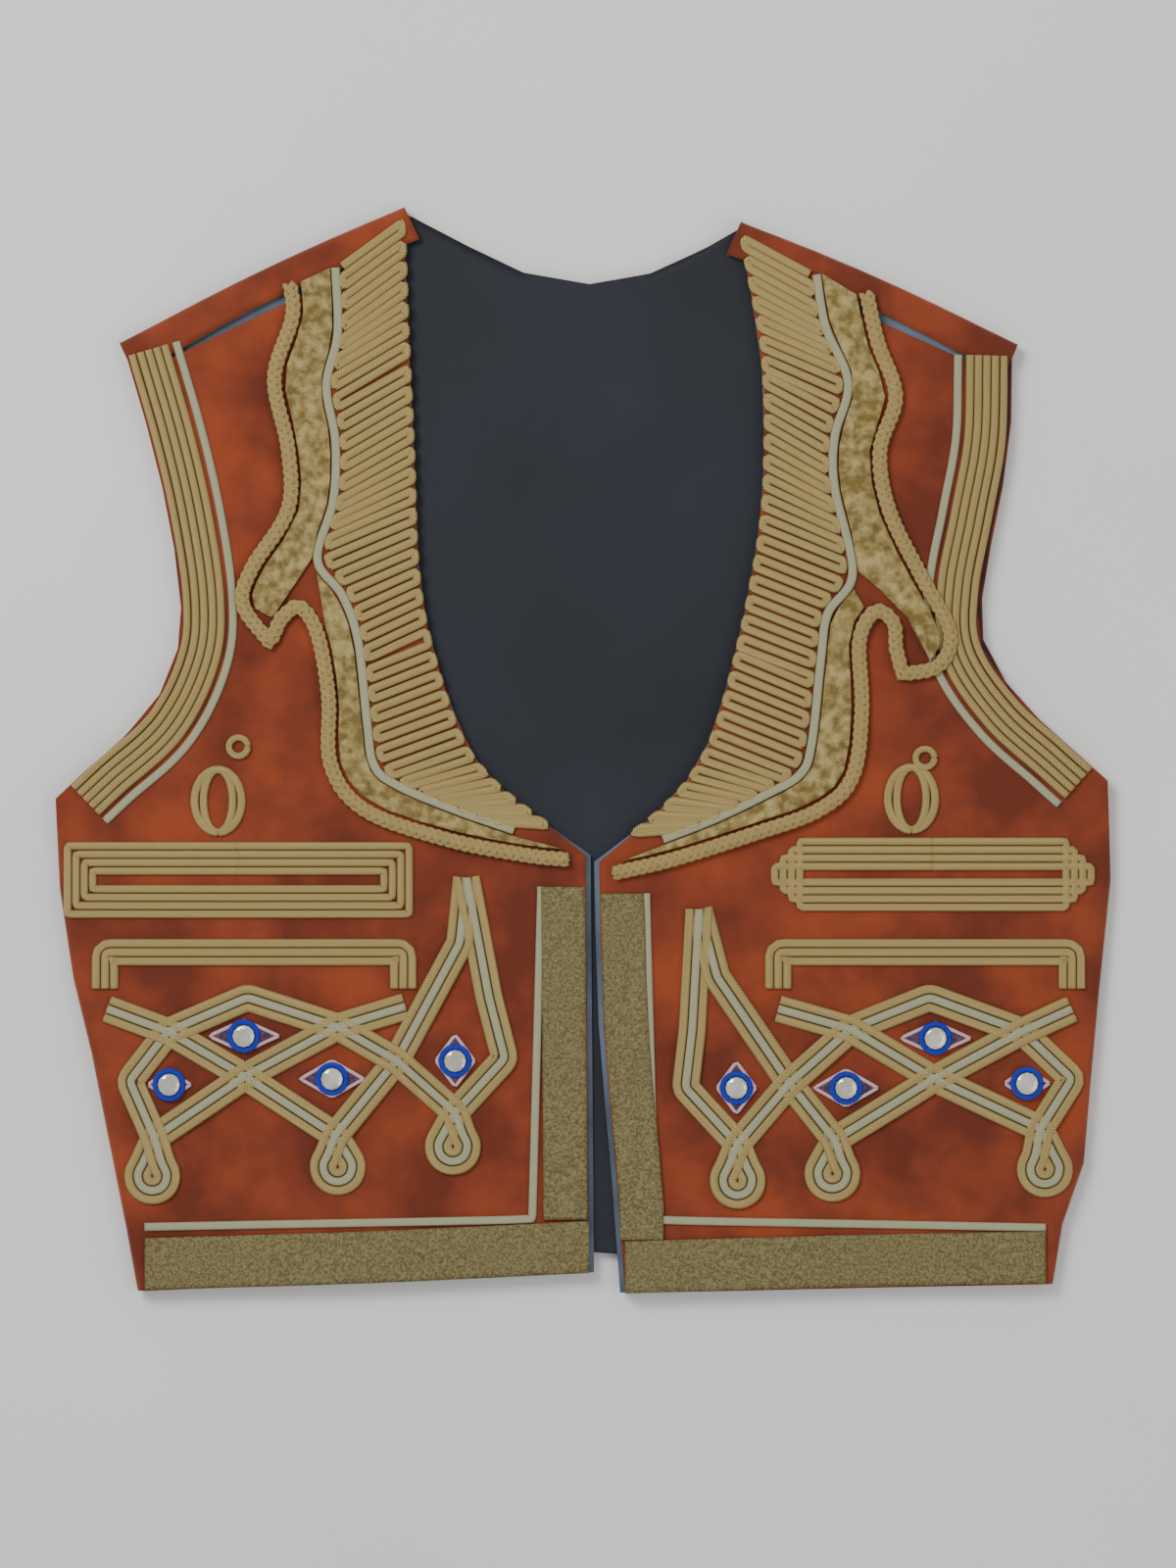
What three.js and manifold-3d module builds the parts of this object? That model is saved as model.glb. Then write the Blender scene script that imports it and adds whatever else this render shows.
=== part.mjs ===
// Embroidered folk vest, laid flat on its back: rust velvet fronts and back, dark lining, gold braid trims.
// Units are millimetres. X runs across the garment (the wearer's left is +X), Y up towards the neck, Z up off
// the table. The origin is under the middle of the garment, on the table. Suffix _r is the wearer's right, _l the left.
//
// The garment is a flat cut that is bent over at the shoulders and sides. Every piece is drawn in flat-cut
// coordinates (x, y), with a height n above the velvet's face, and place() bends it into space. The back is the
// same cut, turned over about the plane Z = MID_Z.
import * as THREE from 'three';
import { mergeVertices } from 'three/addons/utils/BufferGeometryUtils.js';
import Module from 'manifold-3d';

const wasm = await Module();
wasm.setup();

// ---- driving dimensions -------------------------------------------------------------------------------------
const GAP = 0.3; // between pieces at seams
const LAY = 0.6; // between a trim and the cloth under it
const VELVET = 2.0; // quilted velvet wall
const LINING = 1.0; // lining wall
const LINING_GAP = 0.4; // between velvet and its lining
const TAPE = 1.0; // woven gold band
const FOLD_R = 3.7; // outer radius of the velvet where it folds over a shoulder or a side
const MID_Z = 5.0; // height of the fold's axis off the table
const QUARTER = (FOLD_R * Math.PI) / 2; // flat-cut length of a quarter of the fold
const BRAID = 4.2; // width of one gold soutache braid
const BRAID_H = 1.8; // its height
const CHEVRON = 3.8; // width of the green and cream chevron braid
const CHEVRON_H = 1.4;
const PLAIT = 6.6; // width of the plaited edging on the collar
const PLAIT_H = 2.4;
const LAME_H = 1.2; // gold cloth of the collar
const TRIPLE = 2 * BRAID + CHEVRON; // gold, chevron, gold laid side by side
const HEM_BAND = 23; // height of the woven band along the hem
const FRONT_BAND = 19.5; // width of the woven band down the fronts
const LINING_LIP = 2.2; // how far the front lining shows past the velvet's edge
const SEAM_DROP = 16; // from the shoulder fold down to the shoulder seam on the front
const LIFT = 2.3; // rise of the lapel point where it lies over the armhole braid
const MIRROR_R = 5.2;
const RIM_W = 2.2; // button-hole stitched rim round each mirror
const STUD_H = 1.2; // height of the mirrors and their rims
const PATCH_H = 0.9; // thickness of the cloth diamonds
const BACK_HEM_RISE = 14; // the back hem stands this far above the front hem at the middle

// ---- the cut: one table per edge and side, each row a section [x, y] -----------------------------------------
const CUT = {
  r: {
    sign: -1,
    side: [[-197, -238], [-201, -215], [-208, -184], [-213, -148], [-222, -118], [-227, -90], [-232, -55], [-232, -32]],
    armhole: [[-233, -20], [-215, -3], [-192, 18], [-179, 44], [-177, 68], [-182, 103], [-190, 138], [-201, 176]],
    front: [[5.5, -230], [5, -170], [4.5, -110], [4, -45]],
    neck: [[4, -45], [-20, -28], [-39, -12], [-53, 8], [-66, 46], [-72, 78], [-74, 125], [-77, 190], [-79, 240]],
    shoulder: { neck: [-76, 243.5], arm: [-200, 184.5], bulge: 2 },
    armBand: [13.5, 19], // width of the armhole braid at the underarm and at the shoulder
    peek: 1, // how far the back armhole shows past the front
  },
  l: {
    sign: 1,
    side: [[209, -235], [212, -212], [221, -192], [225, -158], [227, -128], [231, -92], [235, -50], [234, -26]],
    armhole: [[233, -12], [214, 5], [193, 24], [177, 48], [176, 72], [182, 104], [188, 138], [189, 176]],
    front: [[17, -239], [13, -185], [7.5, -120], [5.5, -48]],
    neck: [[5.5, -48], [34, -26], [50, -7], [60, 15], [70, 52], [77, 88], [81, 125], [80, 175], [70, 233]],
    shoulder: { neck: [69, 236.5], arm: [189, 183.5], bulge: 2 },
    armBand: [13.5, 19],
    peek: 2,
  },
};
const MIDDLE_X = 3.5; // the back's middle line
const BACK_NECK = { // from the middle of the back neckline up to each shoulder
  r: [[3.5, 208], [-28, 214], [-54, 227], [-79, 240]],
  l: [[3.5, 208], [34, 214], [60, 227], [70, 233]],
};

// The collar. chevron: the line between the looped braid and the gold cloth. edge: the plaited outer edge from the
// shoulder to the lapel point. notch: from the point back into the notch and down to the front closure.
const COLLAR = {
  r: {
    chevron: [[-109, 215], [-108, 186], [-113, 163], [-109, 138], [-110, 112], [-117, 86], [-106, 70], [-99, 50],
      [-95, 14], [-92, -5], [-82, -14], [-56, -25], [-30, -34]],
    edge: [[-129, 208], [-128, 193], [-136, 166], [-130, 135], [-130, 108], [-146, 82], [-150, 66], [-138, 49]],
    notch: [[-133, 60], [-125, 65], [-117, 53], [-112, 25], [-111, -5], [-96, -25], [-60, -38], [-25, -45], [-6, -47]],
    fork: 5, // the chevron row where the lapel and the lower collar part
    tip: [-137, 60],
  },
  l: {
    chevron: [[104, 212], [108, 189], [118, 164], [112, 140], [112, 118], [120, 80], [109, 62], [106, 42],
      [102, 5], [97, -9], [82, -18], [59, -29], [36, -38]],
    edge: [[126, 204], [131, 182], [139, 158], [132, 134], [136, 108], [150, 79], [163, 54], [158, 39], [142, 35]],
    notch: [[139, 47], [138, 58], [130, 63], [123, 50], [124, 20], [120, -10], [105, -25], [75, -36], [40, -47], [14, -53]],
    fork: 5,
    tip: [152, 56],
  },
};

// The knotwork of each front, in named crossings. Each [x, y] is on the middle line of the triple braid.
const KNOT = {
  r: {
    upper: { x: [-222, -82], top: -46.5, low: -65.5 }, lower: { x: [-211, -79], top: -88, foot: -100 },
    start: [-210, -113], end: [-78, -112],
    crossOut: [-183, -123], crossIn: [-108, -121], peak: [-148, -108], middle: [-149, -143], outPoint: [-200, -145],
    meet: [-82, -136], inPoint: [-34, -135], footOut: [-189, -170], footMid: [-109, -169], footIn: [-56, -159],
    neck: [-54, -84], tall: [-51, -55], side: [-41, -108],
    feet: { out: [-190, -187], mid: [-108, -183], in: [-57, -174] },
    finial: [-161, -26], ring: [-152, 3], link: [-153, -77],
    diamonds: [[-149.5, -125, 15.5, 7], [-182.5, -146.5, 9.5, 6], [-110.5, -144, 14, 8], [-56, -136, 8.5, 11.5]],
  },
  l: {
    upper: { x: [91, 220], top: -44.5, low: -62.5 }, lower: { x: [87, 217], top: -88, foot: -100 },
    start: [217, -113], end: [87, -113],
    crossOut: [195, -123], crossIn: [119, -122], peak: [154, -108], middle: [156, -144], outPoint: [217, -144],
    meet: [92, -146], inPoint: [46, -148], footOut: [203, -166], footMid: [112, -171], footIn: [69, -173],
    neck: [60, -99], tall: [52, -69], side: [49, -122],
    feet: { out: [205, -184], mid: [111, -186], in: [69, -189] },
    finial: [146, -25], ring: [152, -2], link: [148, -75],
    diamonds: [[156.5, -126, 15.5, 7], [197, -146, 10, 6.5], [117, -148, 14, 8], [68.5, -148, 8.5, 11.5]],
  },
};
const FOOT_R = 6.8; // middle line of the loops under each foot
const FOOT_W = 10.4; // their braid's width

// ---- plane geometry -------------------------------------------------------------------------------------------
const spline = (rows) => new THREE.SplineCurve(rows.map(([x, y]) => new THREE.Vector2(x, y)));
const sample = (curve, count, from = 0, to = 1) =>
  Array.from({ length: count + 1 }, (_, i) => curve.getPoint(from + ((to - from) * i) / count));
const smooth = (t) => {
  const c = Math.min(1, Math.max(0, t));
  return c * c * (3 - 2 * c);
};
const mix = (a, b, t) => a + (b - a) * t;

// Left-hand normals of a polyline, mitred at its corners.
function normals(line) {
  return line.map((p, i) => {
    const a = line[Math.max(0, i - 1)];
    const b = line[Math.min(line.length - 1, i + 1)];
    const before = new THREE.Vector2().subVectors(p, a).normalize();
    const after = new THREE.Vector2().subVectors(b, p).normalize();
    const along = new THREE.Vector2().addVectors(before, after).normalize();
    const cut = Math.max(0.6, along.dot(i ? before : after));
    return new THREE.Vector2(-along.y, along.x).divideScalar(cut);
  });
}
const offset = (line, by) =>
  normals(line).map((n, i) => line[i].clone().addScaledVector(n, typeof by === 'function' ? by(i / (line.length - 1)) : by));

// A polyline whose rows are [x, y, corner radius], with its corners turned on arcs.
function filleted(rows, straight = 16, turn = 0.5) {
  const points = rows.map(([x, y]) => new THREE.Vector2(x, y));
  const out = [points[0].clone()];
  const lineTo = (p) => {
    const from = out[out.length - 1];
    const steps = Math.max(1, Math.ceil(from.distanceTo(p) / straight));
    for (let i = 1; i <= steps; i++) out.push(from.clone().lerp(p, i / steps));
  };
  for (let i = 1; i < points.length - 1; i++) {
    const a = new THREE.Vector2().subVectors(points[i - 1], points[i]);
    const b = new THREE.Vector2().subVectors(points[i + 1], points[i]);
    const angle = Math.acos(Math.min(1, Math.max(-1, a.clone().normalize().dot(b.clone().normalize()))));
    const reach = Math.min(rows[i][2] / Math.tan(angle / 2), 0.48 * a.length(), 0.48 * b.length());
    const start = points[i].clone().addScaledVector(a.normalize(), reach);
    const end = points[i].clone().addScaledVector(b.normalize(), reach);
    lineTo(start);
    const steps = Math.max(1, Math.ceil((Math.PI - angle) / turn));
    for (let k = 1; k <= steps; k++) {
      const t = k / steps;
      out.push(start.clone().multiplyScalar((1 - t) ** 2).addScaledVector(points[i], 2 * t * (1 - t)).addScaledVector(end, t * t));
    }
  }
  lineTo(points[points.length - 1]);
  return out;
}

// ---- from the flat cut into space -----------------------------------------------------------------------------
// How far (x, y) is past the line where the shoulder starts to fold, and the way out over the fold.
function shoulderFold(side, x, y) {
  const { neck, arm, bulge } = CUT[side].shoulder;
  const along = new THREE.Vector2(arm[0] - neck[0], arm[1] - neck[1]);
  const length = along.length();
  along.divideScalar(length);
  const out = new THREE.Vector2(-along.y, along.x);
  if (out.y < 0) out.negate();
  const rel = new THREE.Vector2(x - neck[0], y - neck[1]);
  const t = Math.min(1, Math.max(0, rel.dot(along) / length));
  return { past: rel.dot(out) + FOLD_R - bulge * Math.sin(Math.PI * t), out };
}

const sideLine = Object.fromEntries(Object.entries(CUT).map(([k, cut]) => [k, sample(spline(cut.side), 40)]));
// X of the side fold's outermost line at height y.
function sideX(side, y) {
  const line = sideLine[side];
  const top = line[line.length - 1];
  if (y >= top.y) return top.x;
  const i = Math.max(1, line.findIndex((p) => p.y > y));
  const t = (y - line[i - 1].y) / (line[i].y - line[i - 1].y);
  return mix(line[i - 1].x, line[i].x, t);
}
const foldX = (side, y) => sideX(side, y) - CUT[side].sign * FOLD_R;

const armholeLine = Object.fromEntries(Object.entries(CUT).map(([k, cut]) => [k, sample(spline(cut.armhole), 40)]));
const armholeDistance = (side, x, y) => Math.min(...armholeLine[side].map((p) => Math.hypot(p.x - x, p.y - y)));

// A point of the flat cut, n above the velvet's face, on the front of the garment. Past the shoulder it turns over
// the fold and runs down the back; past the side it turns down to the seam.
function place(side, x, y, n) {
  const r = FOLD_R + n;
  const { past, out } = shoulderFold(side, x, y);
  if (past > 0) {
    const turn = Math.min(Math.PI, past / FOLD_R);
    const on = r * Math.sin(turn) - (past - FOLD_R * turn) - past;
    return [x + out.x * on, y + out.y * on, MID_Z + r * Math.cos(turn)];
  }
  const { sign } = CUT[side];
  const fold = foldX(side, y);
  const beyond = sign * (x - fold);
  const top = sideLine[side][sideLine[side].length - 1].y;
  const below = smooth((top + 2 - y) / 6);
  if (beyond > 0 && below > 0) {
    const turn = (beyond / FOLD_R) * below;
    return [fold + sign * (r * Math.sin(turn) + beyond * (1 - below)), y, MID_Z + r * Math.cos(turn)];
  }
  return [x, y, MID_Z + r];
}
const placeBack = (side, x, y, n) => {
  const [px, py, pz] = place(side, x, y, n);
  return [px, py, 2 * MID_Z - pz];
};
const onFront = (side) => (x, y, n) => place(side, x, y, n);
const onBack = (side) => (x, y, n) => placeBack(side, x, y, n);
// The collar rises where its point lies over the armhole braid.
const onCollar = (side) => (x, y, n) => place(side, x, y, n + LIFT * smooth((34 - armholeDistance(side, x, y)) / 6));

// ---- solids ---------------------------------------------------------------------------------------------------
// A closed mesh from vertices and triangles, turned to face outwards.
function closed(points, triangles) {
  let volume = 0;
  for (const [a, b, c] of triangles) {
    const [p, q, r] = [points[a], points[b], points[c]];
    volume += p[0] * (q[1] * r[2] - q[2] * r[1]) - p[1] * (q[0] * r[2] - q[2] * r[0]);
    volume += p[2] * (q[0] * r[1] - q[1] * r[0]);
  }
  const faces = volume < 0 ? triangles.map(([a, b, c]) => [a, c, b]) : triangles;
  const geometry = new THREE.BufferGeometry();
  geometry.setAttribute('position', new THREE.Float32BufferAttribute(points.flat(), 3));
  geometry.setIndex(faces.flat());
  return geometry;
}

// A sheet over a grid of flat-cut points, from height low to height high above the velvet's face.
function sheet(rows, low, high, toSpace) {
  const width = rows[0].length;
  const points = [];
  for (const n of [low, high]) for (const row of rows) for (const p of row) points.push(toSpace(p.x, p.y, n));
  const layer = rows.length * width;
  const triangles = [];
  const quad = (a, b, c, d) => triangles.push([a, b, c], [a, c, d]);
  for (let i = 0; i < rows.length - 1; i++)
    for (let j = 0; j < width - 1; j++) {
      const a = i * width + j;
      quad(a, a + width, a + width + 1, a + 1);
      quad(layer + a, layer + a + 1, layer + a + width + 1, layer + a + width);
    }
  const rim = [];
  for (let j = 0; j < width - 1; j++) rim.push(j);
  for (let i = 0; i < rows.length - 1; i++) rim.push(i * width + width - 1);
  for (let j = width - 1; j > 0; j--) rim.push((rows.length - 1) * width + j);
  for (let i = rows.length - 1; i > 0; i--) rim.push(i * width);
  rim.forEach((a, k) => {
    const b = rim[(k + 1) % rim.length];
    quad(a, b, layer + b, layer + a);
  });
  return closed(points, triangles);
}
// A strip between two edges of equally many points, and a ribbon of one width along a line.
const strip = (a, b, low, high, toSpace) => sheet(a.map((p, i) => [p, b[i]]), low, high, toSpace);
const ribbon = (line, width, low, high, toSpace) =>
  strip(offset(line, width / 2), offset(line, -width / 2), low, high, toSpace);

function solid(geometry) {
  const bare = geometry.index ? geometry.toNonIndexed() : geometry.clone();
  bare.deleteAttribute('normal');
  bare.deleteAttribute('uv');
  const merged = mergeVertices(bare, 1e-3);
  const mesh = new wasm.Mesh({
    numProp: 3,
    vertProperties: merged.attributes.position.array,
    triVerts: new Uint32Array(merged.index.array),
  });
  return new wasm.Manifold(mesh);
}
function asGeometry(whole) {
  const mesh = whole.simplify(0.02).getMesh();
  const geometry = new THREE.BufferGeometry();
  geometry.setAttribute('position', new THREE.BufferAttribute(mesh.vertProperties, 3));
  geometry.setIndex(new THREE.BufferAttribute(mesh.triVerts, 1));
  return geometry;
}
const joined = (geometries) => asGeometry(geometries.map(solid).reduce((a, b) => a.add(b)));

// A piece cut back from its neighbour, keeping its largest body.
function cutClear(geometry, neighbour) {
  const parts = solid(geometry).subtract(solid(neighbour)).decompose();
  return asGeometry(parts.reduce((a, b) => (a.volume() > b.volume() ? a : b)));
}

const vest = new THREE.Group();
vest.name = 'folk_vest';
const FINISH = {
  velvet: { color: 0x8a2f12, roughness: 0.85, metalness: 0 },
  lining: { color: 0x10151f, roughness: 0.6, metalness: 0 },
  facing: { color: 0x4a5568, roughness: 0.7, metalness: 0 },
  braid: { color: 0xb59a4e, roughness: 0.55, metalness: 0.3 },
  band: { color: 0x8f8146, roughness: 0.5, metalness: 0.4 },
  lame: { color: 0xcdb25a, roughness: 0.35, metalness: 0.6 },
  chevron: { color: 0x6f9a7a, roughness: 0.7, metalness: 0.1 },
  patch: { color: 0x4a2140, roughness: 0.7, metalness: 0 },
  rim: { color: 0x0826b0, roughness: 0.6, metalness: 0 },
  mirror: { color: 0xe8e6da, roughness: 0.05, metalness: 1 },
};
function piece(name, finish, geometry) {
  const mesh = new THREE.Mesh(geometry, new THREE.MeshStandardMaterial(FINISH[finish]));
  mesh.name = name;
  vest.add(mesh);
}

// ---- lines that run up to a shoulder ----------------------------------------------------------------------------
// Where a curve gets to the given distance past the start of the shoulder's fold.
function reaches(side, curve, past) {
  let [a, b] = [0, 1];
  for (let i = 0; i < 30; i++) {
    const t = (a + b) / 2;
    const p = curve.getPoint(t);
    if (shoulderFold(side, p.x, p.y).past < past) a = t;
    else b = t;
  }
  return a;
}
// Points straight on over the fold from where a line meets it.
function overFold(side, from, steps) {
  const { past, out } = shoulderFold(side, from.x, from.y);
  return steps.map((s) => from.clone().addScaledVector(out, s - past));
}
// ---- cloth panels -----------------------------------------------------------------------------------------------
const SIDE_ROWS = 6; // sections up the side seam
const ARM_ROWS = 9; // sections up the armhole
const ACROSS = 7; // cells over the flat of a panel
const ROLL = [1, 0.66, 0.33]; // shares of the quarter fold, from the seam inwards
const HEM_EASE = 0.6; // the flat begins this far inside the fold

// One section of a panel from its outer edge to its inner edge. A rolled section starts at the side seam.
function section(side, outer, inner, rolled, hold) {
  const { sign } = CUT[side];
  const fold = rolled ? outer.clone().setX(outer.x - sign * FOLD_R) : outer.clone();
  const way = new THREE.Vector2().subVectors(inner, fold).normalize();
  if (hold) {
    const start = fold.clone().addScaledVector(way, hold);
    return Array.from({ length: ACROSS + 1 }, (_, j) => start.clone().lerp(inner, j / ACROSS));
  }
  const flat = fold.clone().addScaledVector(way, rolled ? HEM_EASE : 3 * HEM_EASE);
  const turned = ROLL.map((share) =>
    rolled ? fold.clone().setX(fold.x + sign * share * (QUARTER - GAP / 2)) : fold.clone().lerp(flat, (1 - share) / 1.33),
  );
  return [...turned, ...Array.from({ length: ACROSS + 1 }, (_, j) => flat.clone().lerp(inner, j / ACROSS))];
}
function panel(side, { low, high, armhole, hold }) {
  const outer = sample(spline(CUT[side].side), SIDE_ROWS);
  const rows = low.map((inner, i) => section(side, outer[i], inner, true, hold));
  high.forEach((inner, i) => rows.push(section(side, armhole[i], inner, false, hold)));
  return rows;
}

const seam = FOLD_R - SEAM_DROP; // the shoulder seam, from the start of the fold
for (const side of ['r', 'l']) {
  const { sign } = CUT[side];
  const armhole = spline(CUT[side].armhole);
  const neck = spline(CUT[side].neck);
  const edge = (curve, past) => sample(curve, ARM_ROWS, 0, reaches(side, curve, past));
  const low = sample(spline(CUT[side].front), SIDE_ROWS).slice(0, SIDE_ROWS);
  const back = (p) => p.clone().setX(p.x + sign * LINING_LIP);
  const velvet = panel(side, {
    low: low.map(back),
    high: edge(neck, seam - GAP).map((p, i) => (i === 0 ? back(p) : p)),
    armhole: edge(armhole, seam - GAP),
  });
  piece(`front_velvet_${side}`, 'velvet', sheet(velvet, -VELVET, 0, onFront(side)));
  const lining = panel(side, { low, high: edge(neck, -1.5), armhole: edge(armhole, -1.5), hold: 1.2 });
  const under = -VELVET - LINING_GAP;
  piece(`front_lining_${side}`, 'facing', sheet(lining, under - LINING, under, onFront(side)));
}

// The back: two halves joined down the middle, carried over the shoulders to the seams on the front.
const NECK_ROWS = 3; // sections of each half that end on the neckline
function backHalf(side, over, hold) {
  const { sign, peek } = CUT[side];
  const armhole = spline(CUT[side].armhole.map(([x, y], i) => [x + sign * peek * Math.min(1, i / 3), y]));
  const rise = ARM_ROWS - NECK_ROWS;
  const middle = MIDDLE_X - sign * 1.5; // the halves lap 3 mm before they are joined
  const hem = CUT[side].side[0][1] + BACK_HEM_RISE;
  const low = Array.from({ length: SIDE_ROWS }, (_, i) => new THREE.Vector2(middle, mix(hem, -40, i / SIDE_ROWS)));
  const lift = Array.from({ length: rise }, (_, i) => new THREE.Vector2(middle, mix(-40, BACK_NECK.r[0][1], i / rise)));
  const neckline = spline(BACK_NECK[side]);
  const stop = over ? -0.05 : -1.5;
  const line = sample(neckline, NECK_ROWS, 0, reaches(side, neckline, stop));
  line[0].x = middle;
  const high = [...lift, ...line];
  const arm = sample(armhole, ARM_ROWS, 0, reaches(side, armhole, stop));
  if (over) {
    const steps = [...HALF_TURN, Math.PI * FOLD_R + SEAM_DROP - FOLD_R];
    high.push(...overFold(side, high[high.length - 1], steps));
    arm.push(...overFold(side, arm[arm.length - 1], steps));
  }
  return panel(side, { low, high, armhole: arm, hold });
}
const HALF_TURN = [1, 2, 3, 4, 5, 6].map((s) => (s * Math.PI * FOLD_R) / 6);
const REST_INSET = { side: 12, hem: 34, armhole: 28, neck: 26 }; // the flat the garment rests on, inside its trims
function restingFlat() {
  const edge = [];
  for (const side of ['r', 'l']) {
    const { sign } = CUT[side];
    const up = [...sample(spline(CUT[side].side), 5), ...sample(spline(CUT[side].armhole), 6).slice(1)];
    const line = up.map((p) => new THREE.Vector2(p.x - sign * (p.y > -40 ? REST_INSET.armhole : REST_INSET.side), p.y));
    const inside = line.filter((p) => p.y > -238 + REST_INSET.hem && p.y < 184 - REST_INSET.neck);
    edge.push(side === 'r' ? inside : inside.reverse());
  }
  const shape = new THREE.Shape([...edge[0], ...edge[1]]);
  return new THREE.ExtrudeGeometry(shape, { depth: MID_Z - FOLD_R + VELVET / 2, bevelEnabled: false });
}
const backSheet = (side) => sheet(backHalf(side, true), -VELVET, 0, onBack(side));
piece('back_velvet', 'velvet', joined([backSheet('r'), backSheet('l'), restingFlat()]));
const under = -VELVET - LINING_GAP;
const liningHalf = (side) => sheet(backHalf(side, false, 1.2), under - LINING, under, onBack(side));
piece('back_lining', 'lining', joined([liningHalf('r'), liningHalf('l')]));

// ---- woven bands along the hems and fronts ----------------------------------------------------------------------
const STEP = 24; // longest straight run of a band
const even = (curve, length, from = 0, to = 1) => sample(curve, Math.max(2, Math.ceil(length / STEP)), from, to);

// The hem band's lower edge from the front's corner out to where the side fold starts.
function hemRun(side, inner, rise) {
  const y = CUT[side].side[0][1] + rise;
  const start = foldX(side, y);
  const flat = sample(spline([inner, [mix(inner[0], start, 0.5), mix(inner[1], y, 0.6)], [start, y]]), 8);
  return flat;
}
const lifted = (line, by) => line.map((p) => p.clone().setY(p.y + by));
for (const side of ['r', 'l']) {
  const { sign, front } = CUT[side];
  const place3 = onFront(side);
  const edge = front[0][0] + sign * LINING_LIP;
  const low = hemRun(side, [edge, front[0][1]], 0.5);
  piece(`hem_band_${side}`, 'band', strip(low, lifted(low, HEM_BAND), LAY, LAY + TAPE, place3));
  const trim = lifted(low, HEM_BAND + 4 * LAY);
  const inner = sample(spline(front), 8).map((p) => p.clone().setX(p.x + sign * (LINING_LIP + 0.4)));
  const top = inner.findIndex((p) => p.y > front[0][1] + HEM_BAND + 4);
  const rise = [new THREE.Vector2(inner[top].x, front[0][1] + HEM_BAND + 2 * GAP), ...inner.slice(top)];
  rise[rise.length - 1].y -= 14;
  const bandOut = rise.map((p) => p.clone().setX(p.x + sign * FRONT_BAND));
  piece(`front_band_${side}`, 'band', strip(rise, bandOut, LAY, LAY + TAPE, place3));
  const up = rise.slice(1).map((p) => p.clone().setX(p.x + sign * (FRONT_BAND + 5 * LAY + CHEVRON / 2)));
  const across = trim.slice(2).map((p) => p.clone().setY(p.y + CHEVRON / 2)).reverse();
  const corner = new THREE.Vector2(up[0].x, across[across.length - 1].y);
  piece(`front_chevron_${side}`, 'chevron', ribbon([...across, corner, ...up.slice(1)], CHEVRON, LAY, LAY + CHEVRON_H, place3));
}
const backHem = (side) => {
  const run = hemRun(side, [MIDDLE_X - CUT[side].sign * 1.5, CUT[side].side[0][1] + BACK_HEM_RISE], 0.5);
  return strip(run, lifted(run, HEM_BAND), GAP, GAP + TAPE, onBack(side));
};
piece('hem_band_back', 'band', joined([backHem('r'), backHem('l')]));

// ---- braid round the armholes -----------------------------------------------------------------------------------
for (const side of ['r', 'l']) {
  const { sign, armhole, armBand } = CUT[side];
  const curve = spline(armhole);
  const line = sample(curve, 14, 0.02, reaches(side, curve, -5));
  const rim = offset(line, sign * 0.4);
  const inside = (d) => offset(line, (t) => sign * (mix(armBand[0], armBand[1], smooth(4 * t)) + d));
  for (const [name, finish, a, b, h] of [
    ['armhole_braid', 'braid', rim, inside(0), BRAID_H],
    ['armhole_chevron', 'chevron', inside(GAP), inside(GAP + CHEVRON), CHEVRON_H],
  ]) {
    piece(`${name}_${side}`, finish, strip(a, b, LAY, LAY + h, onFront(side)));
  }
}

// ---- the collar -------------------------------------------------------------------------------------------------
const COLLAR_ROWS = 14;
const LOOP_ROWS = 28; // sections along the looped braid
for (const side of ['r', 'l']) {
  const { sign, neck } = CUT[side];
  const { chevron, edge, notch, fork, tip } = COLLAR[side];
  const on = onCollar(side);
  const neckCurve = spline([...neck].reverse());
  const seamFrom = 1 - reaches(side, spline(neck), -0.05);
  const chevronCurve = spline(chevron);
  const forkAt = fork / (chevron.length - 1);
  const goldSide = sign; // from the chevron, the gold cloth lies on the armhole side
  const braidIn = offset(sample(neckCurve, LOOP_ROWS, seamFrom, 0.9), goldSide * 0.4);
  const braidOut = sample(chevronCurve, LOOP_ROWS, 0, 0.93).map((p, i) => {
    const strand = new THREE.Vector2().subVectors(p, braidIn[i]);
    return braidIn[i].clone().addScaledVector(strand, 1 - (CHEVRON + LAY * 3) / strand.length());
  });
  const clear = ribbon(sample(chevronCurve, 22), CHEVRON + 2 * LAY, 0, 2 * BRAID_H, on);
  const loops = strip(braidIn, braidOut, LAY, LAY + BRAID_H, on);
  piece(`collar_loops_${side}`, 'braid', cutClear(loops, clear));
  piece(`collar_chevron_${side}`, 'chevron', ribbon(sample(chevronCurve, 22), CHEVRON, LAY, LAY + CHEVRON_H, on));

  const plaitLine = [...sample(spline(edge), 16), ...sample(spline(notch), 20)];
  piece(`collar_plait_${side}`, 'braid', ribbon(plaitLine, PLAIT, LAY, LAY + PLAIT_H, on));

  const inside = offset(sample(spline(edge), COLLAR_ROWS, 0, 0.88), -goldSide * (PLAIT / 2 + 2 * LAY));
  const toFork = offset(sample(chevronCurve, COLLAR_ROWS - 3, 0, forkAt), goldSide * (CHEVRON / 2 + LAY));
  const toTip = [0.34, 0.67, 1].map((t) => toFork[toFork.length - 1].clone().lerp(new THREE.Vector2(...tip), t));
  piece(`collar_lapel_${side}`, 'lame', strip([...toFork, ...toTip], inside, LAY, LAY + LAME_H, on));
  const lowIn = offset(sample(chevronCurve, COLLAR_ROWS, forkAt + 0.02, 1), goldSide * (CHEVRON / 2 + LAY));
  const lowOut = offset(sample(spline(notch), COLLAR_ROWS, 0.24, 0.97), -goldSide * (PLAIT / 2 + 2 * LAY));
  piece(`collar_lower_${side}`, 'lame', strip(lowIn, lowOut, LAY, LAY + LAME_H, on));
}

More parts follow.
